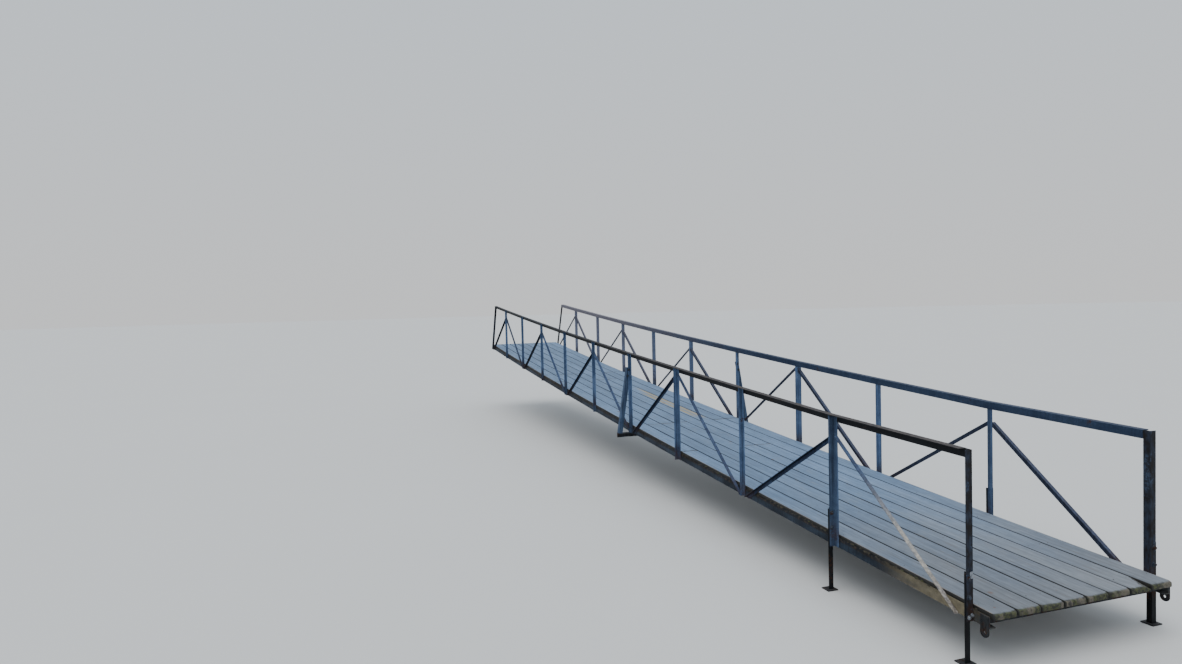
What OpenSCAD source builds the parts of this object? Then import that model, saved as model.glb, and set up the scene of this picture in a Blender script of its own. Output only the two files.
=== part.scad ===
// Sloping gangway of angle steel with W-braced railings and a deck of lengthwise planks
// X runs from the shore end to the dock end, Y across from the right railing to the left one, Z up
// The origin is the middle of the shore bearing's underside

/* [Line of the walkway] */
// Number of railing panels, always even
panel_count = 10; // [8:2:14]
// Length of one panel, post to post
panel_l = 1423; // [1100:1:1700]
// Length of the last panel, at the dock
last_panel_l = 1333; // [1100:1:1700]
// Fall of the deck towards the dock, in degrees
slope_deg = 4.25; // [1:0.05:8]
// How far the middle of the span has sagged
sag = 70; // [0:5:140]
// Shore bearing's middle to the first post
first_post_x = 60; // [30:5:400]
// Deck past the shore bearing's middle
shore_overhang = 60; // [60:5:200]
// Deck past the last post
dock_overhang = 185; // [150:5:400]

/* [Deck] */
// Width of one plank
board_w = 184; // [140:1:240]
// Thickness of the planks
board_t = 38; // [25:1:60]
// Gap between planks
board_gap = 5; // [2:0.5:12]
// Gap between the outer planks and the chords
edge_gap = 5; // [2:0.5:20]
// Gap where two planks meet end to end
butt_gap = 3; // [1:0.5:8]
// Plank with the broken end, counted from the right
broken_board = 7; // [1:1:8]
// Length of the splinter missing from that end
broken_l = 170; // [60:5:400]
// Its width at the end of the plank
broken_w = 86; // [30:1:120]
// Its depth at the edge of the plank
broken_depth = 34; // [10:1:36]

/* [Chords and floor beams] */
// Height of the chord angle's upright leg
chord_h = 75; // [50:1:120]
// Width of the chord angle's flat leg
chord_w = 50; // [30:1:80]
// Thickness of the chord angle
chord_t = 6; // [4:0.5:10]
// Chord past the last post
chord_overhang = 150; // [110:5:300]
// Leg of the floor beam angle
beam_w = 55; // [30:1:80]
// Thickness of the floor beam angle
beam_t = 5; // [3:0.5:10]
// Gap where two lengths of a chord or a top rail meet, behind a post
stock_gap = 2; // [1:0.5:5]

/* [Railings] */
// Top of the railing above the deck
rail_h = 940; // [800:5:1200]
// Extra height of the railing at the last post
rail_rise = 25; // [0:1:60]
// How far the first post rakes towards the dock, from the deck to the rail
shore_rake = 440; // [0:10:600]
// Leg of the top rail angle
rail_w = 60; // [50:1:90]
// Thickness of the top rail angle
rail_t = 6; // [3:0.5:10]
// Leg of a slim post
post_w = 38; // [25:1:50]
// Leg of a wide post
wide_post_w = 51; // [40:1:60]
// Thickness of the post angles
post_t = 5; // [3:0.5:10]
// Leg of a brace
brace_w = 32; // [25:1:50]
// Thickness of the braces
brace_t = 5; // [3:0.5:10]
// Where the braces meet, below the rail's top
apex_drop = 185; // [100:5:300]
// The same at the third post from the dock
high_apex_drop = 95; // [80:5:300]
// Middle of a brace's foot to the post beside it
foot_gap = 42; // [36:1:80]
// The same at the last post, where the support leg stands
last_foot_gap = 90; // [85:1:140]
// Top of the end gusset below the deck
gusset_drop = 20; // [0:1:40]

/* [Outrigger] */
// Reach of the outrigger beam past the chord
outrigger_reach = 185; // [140:5:400]
// Leg of the outrigger beam angle
outrigger_w = 60; // [40:1:90]
// Leg of the strut angle
strut_w = 55; // [30:1:70]
// Thickness of the outrigger beam and its struts
outrigger_t = 6; // [4:0.5:10]
// Top of the strut below the rail's top
strut_drop = 190; // [70:5:300]

/* [Support legs] */
// Leg of the support leg angle
leg_w = 40; // [25:1:50]
// Thickness of the support leg angle
leg_t = 5; // [3:0.5:10]
// Top of a support leg above the deck
leg_rise = 200; // [100:5:400]
// Foot plates' underside below the chord at the last post but one
leg_drop = 345; // [200:5:900]
// How far a support leg stands past the edge of its post
leg_out = 10; // [0:1:25]
// Side of a foot plate
foot_w = 90; // [60:5:150]
// Thickness of a foot plate
foot_t = 8; // [5:1:20]

/* [Bearings] */
// Width of the shore bearing's sole along the walkway
sole_w = 100; // [80:5:118]
// Thickness of the sole at its middle
sole_t = 12; // [8:1:30]
// Thickness of the upright leg of the shore bearing
sole_leg_t = 8; // [4:1:12]
// Radius of an anchor hole
anchor_r = 9; // [5:0.5:14]
// Distance between the two anchor holes
anchor_spacing = 1200; // [600:10:1300]
// Width of a dock lug
lug_w = 64; // [50:1:80]
// Thickness of a dock lug
lug_t = 10; // [6:1:16]
// Radius of the pin hole in a dock lug
pin_r = 10; // [6:0.5:16]
// Pin hole below the chord
pin_drop = 30; // [20:1:60]

/* [Hidden] */

// The deck has one node for each plank
board_count = 8;
deck_w = board_count * board_w + (board_count - 1) * board_gap;
// Middle of the walkway to the inner and outer faces of a chord
inner_face = deck_w / 2 + edge_gap;
outer_face = inner_face + chord_t;
// Underside and top of the chord below the deck's surface
chord_depth = board_t + beam_w + chord_t;
chord_top = chord_h - chord_depth;
// Deck's surface above the bearing, at the bearing's middle
deck_z = sole_t + chord_depth;
last = panel_count;
bend_before = wide_post_w / 2 + 10;
leg_posts = [last - 1, last];
outrigger_post = last - 4;
high_apex_post = last - 3;
// Floor beams that carry the earliest plank joints, counted from the shore
first_joint = 2 * floor(last * 0.3);
second_joint = 2 * ceil(last * 0.6);
// Planks that have these early joints, counted from the right
early_boards = [2, 3, 4, 7, 8];
// Posts that hide the joints of the chords and top rails
stock_posts = [last - 6, last - 2];
deck_end = post_x(last) + dock_overhang;
chord_start = -sole_w / 2;
chord_end = post_x(last) + chord_overhang;
// Level that the support legs stand on
foot_z = line_z(post_x(last - 1)) - chord_depth - leg_drop;
steel = [0.22, 0.25, 0.30];
dark_steel = [0.16, 0.17, 0.19];
rusty = [0.36, 0.25, 0.19];
grey_wood = [0.56, 0.57, 0.59];

// Middle of a post along the walkway
function post_x(i) = first_post_x + i * panel_l - (i == last ? panel_l - last_panel_l : 0);

// Long members bend just before each post, so that they lie straight along it
function bend_x(i) = post_x(i) - bend_before;

// Deck's surface at a bend: an even fall with a shallow sag between the ends
function bend_z(i) = deck_z - tan(slope_deg) * bend_x(i) - 4 * sag * along(i) * (1 - along(i));

// Share of the span up to a bend
function along(i) = (bend_x(i) - bend_x(0)) / (bend_x(last) - bend_x(0));

// Panel that a place along the walkway belongs to
function panel_at(x) = min(last - 1, max(0, floor((x - bend_x(0)) / panel_l)));

// Fall of one panel for each unit of length
function panel_slope(k) = (bend_z(k + 1) - bend_z(k)) / (bend_x(k + 1) - bend_x(k));

// Deck's surface anywhere, straight from bend to bend
function line_z(x) = bend_z(panel_at(x)) + panel_slope(panel_at(x)) * (x - bend_x(panel_at(x)));

// Height of the top rail above the deck, which grows over the last panel
function rail_at(x) = rail_h
  + rail_rise * max(0, x - bend_x(last - 1)) / (bend_x(last) - bend_x(last - 1));

// Places where a long member changes direction, with its two ends
function bends(xa, xb) = concat(
  [xa],
  [for (i = [0 : last]) if (bend_x(i) > xa + 0.01 && bend_x(i) < xb - 0.01) bend_x(i)],
  [xb]
);

// Leg of a post, wider at the apexes by the dock and at the last post
function post_leg(i) = (i == last || i == last - 1 || i == high_apex_post) ? wide_post_w : post_w;

// Shore side of a post
function post_face(i) = post_x(i) - post_leg(i) / 2;

// Bar that follows the deck between two places, two heights over it and two distances across
module strip(xa, xb, za, zb, ya, yb) {
  xs = bends(xa, xb);
  low = [for (x = xs) [x, line_z(x) + za]];
  high = [for (k = [len(xs) - 1 : -1 : 0]) [xs[k], line_z(xs[k]) + zb]];
  side_plate(concat(low, high), ya, yb);
}

// The same for a bar that follows the top of the railing, its two heights given from there
module rail_strip(xa, xb, za, zb, ya, yb) {
  xs = bends(xa, xb);
  low = [for (x = xs) [x, line_z(x) + rail_at(x) + za]];
  high = [for (k = [len(xs) - 1 : -1 : 0]) [xs[k], line_z(xs[k]) + rail_at(xs[k]) + zb]];
  side_plate(concat(low, high), ya, yb);
}

// Upright plate in the plane of a railing, from its outline and two distances across
module side_plate(outline, ya, yb) {
  translate([0, yb, 0])
    rotate([90, 0, 0])
      linear_extrude(height = yb - ya)
        polygon(outline);
}

// Pieces of the right railing are the left one's, mirrored
module right_side() {
  mirror([0, 1, 0])
    children();
}

// Floor beams under the two butt joints of a plank
function joint_beams(n) = len([for (b = early_boards) if (b == n) b]) > 0
  ? [first_joint, second_joint]
  : [first_joint + 1, second_joint + 2];

// Places of these joints, over the middles of the beams
function joints_of(n) = [for (k = joint_beams(n)) beam_place(k) + beam_w / 2];

// Plank in three lengths that lie end to end
module deck_board(n) {
  y = -deck_w / 2 + (n - 1) * (board_w + board_gap);
  joints = joints_of(n);
  starts = [-shore_overhang, joints[0] + butt_gap / 2, joints[1] + butt_gap / 2];
  ends = [joints[0] - butt_gap / 2, joints[1] - butt_gap / 2, deck_end];
  color(grey_wood)
    difference() {
      for (k = [0 : 2])
        strip(starts[k], ends[k], -board_t, 0, y, y + board_w);
      if (n == broken_board)
        broken_end(y);
    }
}

// Splinter missing from a plank's end: all that lies over a plane through the crack
module broken_end(y) {
  turn = atan(broken_w / broken_l);
  tilt = atan(broken_depth / (broken_w * cos(turn)));
  translate([deck_end, y + board_w - broken_w, line_z(deck_end)])
    rotate([0, -atan(panel_slope(last - 1)), 0])
      rotate([-tilt, 0, -turn])
        translate([-2 * broken_l, -board_w, 0])
          cube([3 * broken_l, 3 * board_w, 3 * board_t]);
}

// Angle across the walkway, its flat leg on top and its upright leg on the shore side
module cross_angle(x, w, t, top, half_length) {
  upper = bends(x, x + w);
  profile = concat(
    [for (k = [0 : len(upper) - 1]) [upper[k], line_z(upper[k]) + top]],
    [
      [x + w, line_z(x + w) + top - t],
      [x + t, line_z(x + t) + top - t],
      [x + t, line_z(x + t) + top - w],
      [x, line_z(x) + top - w]
    ]
  );
  side_plate(profile, -half_length, half_length);
}

// Shore side of a floor beam: even ones stand at the posts, odd ones halfway between
function beam_place(k) = k % 2 == 0 ? post_x(k / 2) : (post_x((k - 1) / 2) + post_x((k + 1) / 2)) / 2;

// Floor beams at every post and halfway between
module floor_beams() {
  color(dark_steel)
    for (k = [0 : 2 * panel_count])
      cross_angle(beam_place(k), beam_w, beam_t, -board_t, inner_face);
}

// Last floor beam, at the dock end of the chords
module dock_end_beam() {
  color(dark_steel)
    cross_angle(chord_end - beam_w, beam_w, beam_t, -board_t, inner_face);
}

// Angle that carries both chords on the shore, its sole bevelled to the slope
module shore_bearing() {
  half = sole_w / 2;
  top = line_z(-half) - chord_depth;
  end = line_z(half) - chord_depth;
  back = -half - sole_leg_t;
  color(dark_steel)
    difference() {
      union() {
        side_plate([[-half, 0], [half, 0], [half, end], [-half, top]], -outer_face, outer_face);
        side_plate(
          [[back, 0], [-half, 0], [-half, line_z(-half) - board_t], [back, line_z(back) - board_t]],
          -outer_face,
          outer_face
        );
      }
      for (s = [-1, 1])
        translate([0, s * anchor_spacing / 2, -1])
          cylinder(r = anchor_r, h = sole_t * 2 + 2, $fn = 48);
    }
}

// Starts and ends of the stock lengths that make a long angle
function stock_starts(xa) = concat([xa], [for (i = stock_posts) post_x(i) + stock_gap / 2]);
function stock_ends(xb) = concat([for (i = stock_posts) post_x(i) - stock_gap / 2], [xb]);

// Edge angle under the deck's side, its flat leg turned in below the floor beams
module bottom_chord() {
  starts = stock_starts(chord_start);
  ends = stock_ends(chord_end);
  color(steel)
    for (k = [0 : len(starts) - 1]) {
      strip(starts[k], ends[k], -chord_depth, chord_top, inner_face, outer_face);
      strip(starts[k], ends[k], -chord_depth, -chord_depth + chord_t, outer_face - chord_w, outer_face);
    }
}

// Hand rail angle, its flat leg turned out over the posts, from the first post's head to the last post
module top_rail() {
  starts = stock_starts(post_face(0) + shore_rake);
  ends = stock_ends(post_face(last));
  y = outer_face - rail_t;
  color(steel)
    for (k = [0 : len(starts) - 1]) {
      rail_strip(starts[k], ends[k], -rail_w, 0, y, outer_face);
      rail_strip(starts[k], ends[k], -rail_t, 0, y, y + rail_w);
    }
}

// Angle posts in a row, all plumb but the first
module posts() {
  color(steel)
    for (i = [0 : last])
      post(i);
}

// Post cut to the chord's lower edge and to the rail's flat leg, or as high as the rail at the dock
module post(i) {
  x = post_face(i);
  w = post_leg(i);
  lean = i == 0 ? atan(shore_rake / rail_h) : 0;
  head = x + (i == 0 ? shore_rake : 0);
  far = outer_face + 2 * w;
  difference() {
    translate([x, outer_face, line_z(x)])
      rotate([0, lean, 0])
        translate([0, 0, -2 * chord_depth])
          angle_bar(w, post_t, 2 * chord_depth + rail_at(x) / cos(lean) + rail_w, i == last);
    strip(x - 4 * w, x + 4 * w, -4 * chord_depth, -chord_depth, outer_face - 1, far);
    rail_strip(head - 4 * w, head + 4 * w, i == last ? 0 : -rail_t, 3 * rail_w, outer_face - 1, far);
  }
}

// Upright angle with its corner at the origin, or with the corner on the dock side
module angle_bar(w, t, h, turned) {
  section = [[0, 0], [w, 0], [w, t], [t, t], [t, w], [0, w]];
  linear_extrude(height = h)
    polygon([for (p = section) [turned ? w - p[0] : p[0], p[1]]]);
}

// Post where the braces of a panel meet
function apex_post(k) = k % 2 == 0 ? k + 1 : k;

// Side of the apex post that the brace butts against
function apex_x(k) = k % 2 == 0 ? post_face(k + 1) : post_face(k) + post_leg(k);

// Height of the brace's middle where it meets the apex post
function apex_z(k) = line_z(apex_x(k)) + rail_h
  - (apex_post(k) == high_apex_post ? high_apex_drop : apex_drop);

// Middle of the brace's foot, on the chord's lower edge
function foot_x(k) = k % 2 == 0
  ? post_face(k) + post_leg(k) + foot_gap
  : post_face(k + 1) - (k + 1 == last ? last_foot_gap : foot_gap);
function foot_height(k) = line_z(foot_x(k)) - chord_depth;

// Run, rise and slope of a brace from its foot to its apex
function brace_run(k) = apex_x(k) - foot_x(k);
function brace_rise(k) = apex_z(k) - foot_height(k);
function brace_slope(k) = brace_rise(k) / brace_run(k);

// Half the brace's width, measured upright
function brace_half(k) = brace_w / 2 * sqrt(1 + pow(brace_slope(k), 2));

// Place where the brace's upper edge comes down to a height over the deck
function upper_edge_x(k, height) = foot_x(k)
  + (height + chord_depth - brace_half(k)) / (brace_slope(k) - panel_slope(k));

// Braces in a W, each with its standing leg along the upper edge
module braces() {
  color(steel)
    for (k = [0 : last - 1])
      brace(k);
}

// Angle from the chord's lower edge to the side of the apex post, cut to both
module brace(k) {
  toward = k % 2 == 0 ? 1 : -1;
  spare = 2 * brace_w;
  long = sqrt(pow(brace_run(k), 2) + pow(brace_rise(k), 2)) + 2 * spare;
  far = outer_face + 2 * brace_w;
  difference() {
    translate([foot_x(k), outer_face, foot_height(k)])
      rotate([0, -atan(brace_slope(k)), 0])
        translate([toward > 0 ? -spare : spare - long, 0, -brace_w / 2])
          union() {
            cube([long, brace_t, brace_w]);
            translate([0, 0, brace_w - brace_t])
              cube([long, brace_w, brace_t]);
          }
    strip(foot_x(k) - 3 * spare, foot_x(k) + 3 * spare, -5 * spare, -chord_depth, outer_face - 1, far);
    translate([toward > 0 ? apex_x(k) : apex_x(k) - 3 * spare, outer_face - 1, apex_z(k) - 3 * spare])
      cube([3 * spare, far, 6 * spare]);
  }
}

// Plate that fills the corner between the last brace's foot and the last post
module end_gusset() {
  k = last - 1;
  x = post_face(last);
  low = upper_edge_x(k, -chord_depth);
  high = upper_edge_x(k, -gusset_drop);
  outline = [
    [x, line_z(x) - chord_depth],
    [x, line_z(x) - gusset_drop],
    [high, line_z(high) - gusset_drop],
    [low, line_z(low) - chord_depth]
  ];
  color(rusty)
    side_plate(outline, outer_face, outer_face + brace_t);
}

// Cross angle below the chords that reaches out on both sides
module outrigger_beam() {
  x = post_face(outrigger_post) - strut_w;
  color(dark_steel)
    cross_angle(x, outrigger_w, outrigger_t, -chord_depth, outer_face + outrigger_reach);
}

// Raking angle from the outrigger's end to the upper part of the post
module outrigger_strut() {
  x = post_face(outrigger_post);
  z = line_z(x);
  foot = [outer_face + outrigger_reach - strut_w / 2, z - chord_depth];
  head = [outer_face + post_w / 2, z + rail_h - strut_drop];
  lean = (head[0] - foot[0]) / (head[1] - foot[1]);
  half = strut_w / 2 * sqrt(1 + lean * lean);
  skin = outrigger_t * sqrt(1 + lean * lean);
  // The outline starts below the beam's top and is then cut to it
  under = foot[1] - outrigger_w;
  foot_y = foot[0] - lean * outrigger_w;
  color(steel)
    difference() {
      union() {
        strut_leg(x, outrigger_t, [[foot_y - half, under], [foot_y + half, under],
                                   [head[0] + half, head[1]], [head[0] - half, head[1]]]);
        strut_leg(x, strut_w, [[foot_y + half - skin, under], [foot_y + half, under],
                               [head[0] + half, head[1]], [head[0] + half - skin, head[1]]]);
      }
      strip(x - 2 * strut_w, x + strut_w, -chord_depth - 3 * outrigger_w, -chord_depth,
            outer_face, outer_face + 2 * outrigger_reach);
    }
}

// Leg of the strut, drawn across the walkway and as deep as given towards the shore
module strut_leg(x, depth, outline) {
  translate([x - depth, 0, 0])
    rotate([90, 0, 90])
      linear_extrude(height = depth)
        polygon(outline);
}

// Inner side and dock side of a support leg, which lies on the post's outer leg
function leg_y(i) = outer_face + post_leg(i) + leg_out - leg_w;
function leg_x(i) = post_face(i) + (i == last ? post_leg(i) - post_t : 0);

// Angles bolted to the last two posts, down to the level they stand on
module legs() {
  color(dark_steel)
    for (i = leg_posts) {
      x = leg_x(i);
      low = foot_z + foot_t;
      high = line_z(x) + leg_rise;
      translate([x - leg_t, leg_y(i), low])
        cube([leg_t, leg_w, high - low]);
      translate([x - leg_w, leg_y(i), low])
        cube([leg_w, leg_t, high - low]);
    }
}

// Square plates under the support legs
module foot_plates() {
  color(rusty)
    for (i = leg_posts)
      translate([leg_x(i) - leg_w / 2 - foot_w / 2, leg_y(i) + leg_w / 2 - foot_w / 2, foot_z])
        cube([foot_w, foot_w, foot_t]);
}

// Lug on the chord's dock end with a hole for the hinge pin
module dock_lug() {
  x = chord_end - lug_w;
  pin_x = chord_end - lug_w / 2;
  pin_z = line_z(pin_x) - chord_depth - pin_drop;
  outline = [
    [x, line_z(x) + chord_top],
    [chord_end, line_z(chord_end) + chord_top],
    [chord_end, pin_z],
    [x, pin_z]
  ];
  color(rusty)
    difference() {
      union() {
        side_plate(outline, outer_face, outer_face + lug_t);
        translate([pin_x, outer_face + lug_t, pin_z])
          rotate([90, 0, 0])
            cylinder(r = lug_w / 2, h = lug_t, $fn = 64);
      }
      translate([pin_x, outer_face + lug_t + 1, pin_z])
        rotate([90, 0, 0])
          cylinder(r = pin_r, h = lug_t + 2, $fn = 48);
    }
}

deck_board(1);  // deck_board_1
deck_board(2);  // deck_board_2
deck_board(3);  // deck_board_3
deck_board(4);  // deck_board_4
deck_board(5);  // deck_board_5
deck_board(6);  // deck_board_6
deck_board(7);  // deck_board_7
deck_board(8);  // deck_board_8
floor_beams();
dock_end_beam();
shore_bearing();
outrigger_beam();
right_side() bottom_chord();  // right_bottom_chord
bottom_chord();  // left_bottom_chord
right_side() top_rail();  // right_top_rail
top_rail();  // left_top_rail
right_side() posts();  // right_posts
posts();  // left_posts
right_side() braces();  // right_braces
braces();  // left_braces
right_side() end_gusset();  // right_end_gusset
end_gusset();  // left_end_gusset
right_side() outrigger_strut();  // right_outrigger_strut
outrigger_strut();  // left_outrigger_strut
right_side() legs();  // right_legs
legs();  // left_legs
right_side() foot_plates();  // right_foot_plates
foot_plates();  // left_foot_plates
right_side() dock_lug();  // right_dock_lug
dock_lug();  // left_dock_lug
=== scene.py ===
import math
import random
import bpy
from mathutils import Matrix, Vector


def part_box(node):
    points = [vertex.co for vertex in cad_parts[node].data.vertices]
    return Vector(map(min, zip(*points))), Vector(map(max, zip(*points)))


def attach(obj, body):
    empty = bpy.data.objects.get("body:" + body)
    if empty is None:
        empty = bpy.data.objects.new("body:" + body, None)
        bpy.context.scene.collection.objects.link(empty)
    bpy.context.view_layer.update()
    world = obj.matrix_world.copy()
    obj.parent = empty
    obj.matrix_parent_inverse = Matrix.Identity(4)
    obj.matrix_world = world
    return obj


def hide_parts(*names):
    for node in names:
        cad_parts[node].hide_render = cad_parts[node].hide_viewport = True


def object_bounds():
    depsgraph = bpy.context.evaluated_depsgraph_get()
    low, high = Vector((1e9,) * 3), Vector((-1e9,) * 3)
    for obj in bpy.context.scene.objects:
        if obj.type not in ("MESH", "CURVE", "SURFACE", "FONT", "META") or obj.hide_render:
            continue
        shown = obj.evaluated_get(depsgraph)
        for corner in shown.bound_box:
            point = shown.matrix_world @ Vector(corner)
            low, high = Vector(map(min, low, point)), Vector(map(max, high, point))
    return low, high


bl_info = {
    "name": "Railed gangway",
    "version": (1, 0, 0),
    "blender": (4, 5, 0),
    "location": "View3D > Sidebar > Gangway",
    "description": "Planks, welds, bolts and weathered finishes for a steel gangway with a wooden deck",
    "category": "Object",
}

import bmesh
import bpy
from bpy.props import FloatProperty, FloatVectorProperty, IntProperty, PointerProperty
from mathutils import Matrix, Vector, noise

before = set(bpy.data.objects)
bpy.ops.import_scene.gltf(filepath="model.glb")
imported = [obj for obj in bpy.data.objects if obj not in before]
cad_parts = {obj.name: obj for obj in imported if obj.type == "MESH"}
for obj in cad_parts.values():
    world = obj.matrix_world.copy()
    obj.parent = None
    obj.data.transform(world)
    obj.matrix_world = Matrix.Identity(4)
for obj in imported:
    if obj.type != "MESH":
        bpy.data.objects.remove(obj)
CAD_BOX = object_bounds()
BODY = "root"
BOARDS = 8
SIDES = {"right": -1, "left": 1}
# Points nearer to each other than the first are one, and points nearer to a face than the second lie on it
MERGE = 1e-5
NEAR = 1e-4
# Gaps between the planks as they have shrunk, counted from the right, for each length from the upper end
GAPS = (
    (0.0105, 0.0128, 0.0114, 0.0100, 0.0086, 0.0095, 0.0076),
    (0.0076, 0.0094, 0.0103, 0.0080, 0.0075, 0.0098, 0.0070),
    (0.0085, 0.0095, 0.0070, 0.0090, 0.0075, 0.0100, 0.0065),
)
GAP_IN_FRAME = 0.005
# Stains and dark knots on the deck: place along it, place across it and size
SPOTS = (
    (7.36, 0.24, 0.07),
    (7.66, 0.18, 0.05),
    (7.72, -0.62, 0.06),
    (9.81, -0.01, 0.05),
    (10.69, 0.016, 0.035),
    (14.12, -0.52, 0.04),
    (7.22, -0.65, 0.02),
    (9.02, -0.53, 0.018),
    (9.78, -0.35, 0.018),
    (11.69, -0.57, 0.02),
    (14.23, -0.09, 0.014),
    (14.295, -0.67, 0.016),
    (14.268, 0.556, 0.012),
    (14.343, 0.494, 0.012),
)


def linear(*picture):
    """Colour of a picture, given from 0 to 255, as the linear one that shaders use"""
    shares = [value / 255 for value in picture]
    return tuple(s / 12.92 if s <= 0.04045 else ((s + 0.055) / 1.055) ** 2.4 for s in shares)


# Places on the walkway, read from the frame. It falls from its upper end, at the lowest X, to its lower end.


def corners(points):
    """Lowest and highest corner of some points"""
    low = Vector(min(p[k] for p in points) for k in range(3))
    high = Vector(max(p[k] for p in points) for k in range(3))
    return low, high


def merged(mesh):
    """Bmesh of a mesh of loose triangles, with its doubles merged"""
    bm = bmesh.new()
    bm.from_mesh(mesh)
    bmesh.ops.remove_doubles(bm, verts=bm.verts, dist=MERGE)
    return bm


def islands(bm):
    """Vertices of each separate solid in a merged bmesh, in order from the upper end"""
    unseen = set(bm.verts)
    found = []
    while unseen:
        queue = [unseen.pop()]
        island = []
        while queue:
            vert = queue.pop()
            island.append(vert)
            for edge in vert.link_edges:
                other = edge.other_vert(vert)
                if other in unseen:
                    unseen.remove(other)
                    queue.append(other)
        found.append(island)
    return sorted(found, key=lambda island: min(v.co.x for v in island))


def solids(node):
    """Points of each separate solid in a node or a new piece, in order from the upper end"""
    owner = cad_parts[node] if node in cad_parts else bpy.data.objects[node]
    bm = merged(owner.data)
    found = [[vert.co.copy() for vert in island] for island in islands(bm)]
    bm.free()
    return found


def boxes(node):
    """Lowest and highest corner of each separate solid in a node"""
    return [corners(points) for points in solids(node)]


def all_points(*nodes):
    return [v.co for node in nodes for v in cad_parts[node].data.vertices]


def profile(keep, *nodes):
    """Function of the place along the walkway that gives the highest or lowest point of some nodes there"""
    table = {}
    for p in all_points(*nodes):
        place = round(p.x, 4)
        table[place] = keep(table.get(place, p.z), p.z)
    places = sorted(table)

    def at(place):
        if place <= places[0]:
            return table[places[0]]
        for a, b in zip(places, places[1:]):
            if place <= b:
                return table[a] + (table[b] - table[a]) * (place - a) / (b - a)
        return table[places[-1]]

    return at


DECK = profile(max, "deck_board_1", "deck_board_8")
RAIL = profile(max, "right_top_rail")
CHORD_LOW = profile(min, "right_bottom_chord")
CHORD_TOP = profile(max, "right_bottom_chord")
OUTER_FACE = max(p.y for p in all_points("left_bottom_chord"))
# What lies further out than this on a post is its outer leg
OUTER_LEG = OUTER_FACE + 0.03
POSTS = boxes("left_posts")
LAST_POST = POSTS[-1][0].x
# Left posts with a wider outer leg, those turned to have it downhill, and the new piece's name
WIDENED = range(1, 7)
TURNED = (1, 2, 3, 4, 5, 7, 8)
TURNED_POSTS = "turned_left_posts"
BEAMS = boxes("floor_beams")
UPPER_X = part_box("deck_board_1")[0].x
LOWER_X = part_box("deck_board_1")[1].x
DECK_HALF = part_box("deck_board_8")[1].y
MEAN_FALL = math.atan((DECK(UPPER_X) - DECK(LOWER_X)) / (LOWER_X - UPPER_X))
SAG = (DECK(UPPER_X) + DECK(LOWER_X)) / 2 - DECK((UPPER_X + LOWER_X) / 2)


def lie(x):
    """Angle by which the deck falls at a place"""
    reach = 0.02
    return math.atan((DECK(x - reach) - DECK(x + reach)) / (2 * reach))


# Sizes and colours that a user would change


def colour_setting(name, description, default):
    return FloatVectorProperty(name=name, description=description, subtype="COLOR", size=3, default=default)


def length_setting(name, description, default):
    return FloatProperty(name=name, description=description, unit="LENGTH", default=default)


def angle_setting(name, description, degrees):
    default = math.radians(degrees)
    return FloatProperty(name=name, description=description, subtype="ANGLE", default=default)


def plain_setting(name, description, default):
    return FloatProperty(name=name, description=description, default=default)


class DeckSettings(bpy.types.PropertyGroup):
    paint: colour_setting("Paint", "Colour of the paint on the planks", linear(101, 126, 156))
    # Faded paint, with painted sunlight in its paler, warmer tone
    faded_sunlit_paint: colour_setting("Faded paint", "Colour of the worn paint at the lower end", linear(112, 117, 124))
    moss: colour_setting("Moss", "Colour of the growth on the wet plank ends", linear(62, 66, 32))
    edge_round: length_setting("Edge rounding", "Radius worn on the planks' long edges", 0.0045)
    end_wear: length_setting("End wear", "How far weather has eaten into the plank ends", 0.007)
    screw_size: length_setting("Screw head", "Diameter of a screw head", 0.009)
    splinters: IntProperty(
        name="Splinters",
        description="Number of splinters left along the break in the plank",
        default=8,
    )


class SteelSettings(bpy.types.PropertyGroup):
    slate: colour_setting("Slate paint", "Colour of the paint on the posts", linear(78, 101, 136))
    # Darker than the left rail's paint, partly as painted shade on the rail's shaded outer face
    dark: colour_setting("Dark paint", "Colour of the paint on the right top rail", linear(28, 31, 37))
    rust: colour_setting("Rust", "Colour of the rust", linear(74, 52, 40))
    edge_round: length_setting("Edge rounding", "Radius on the edges of the rolled angles", 0.0012)
    left_leg: length_setting("Left post leg", "Width of the widened outer legs of left posts", 0.051)
    weld_size: length_setting("Weld", "Radius of a weld bead", 0.0042)
    bolt_size: length_setting("Bolt head", "Width across the flats of a bolt head", 0.019)


class StageSettings(bpy.types.PropertyGroup):
    floor_tone: colour_setting("Floor", "Colour of the studio floor", (0.62, 0.62, 0.615))
    sky: plain_setting("Surround", "Strength of the soft light from all round", 0.9)
    key: plain_setting("Overhead light", "Strength of the wide, soft light from above", 1.8)
    fill: plain_setting("Side light", "Strength of the weak light from beyond the lower end", 0.2)
    eye: FloatVectorProperty(
        name="Camera",
        description="Place of the camera",
        subtype="TRANSLATION",
        size=3,
        default=(18.0292, -4.5141, 0.9594),
    )
    heading: angle_setting("Heading", "Direction of view, turned from Y towards the lower end", -71.17)
    dip: angle_setting("Dip", "How far the camera looks down", 1.898)
    tilt: angle_setting("Tilt", "Turn of the camera about its own line of sight", -1.391)
    lens: plain_setting("Lens", "Focal length for a sensor 36 mm wide, in millimetres", 24.0)


# Finishes


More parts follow.
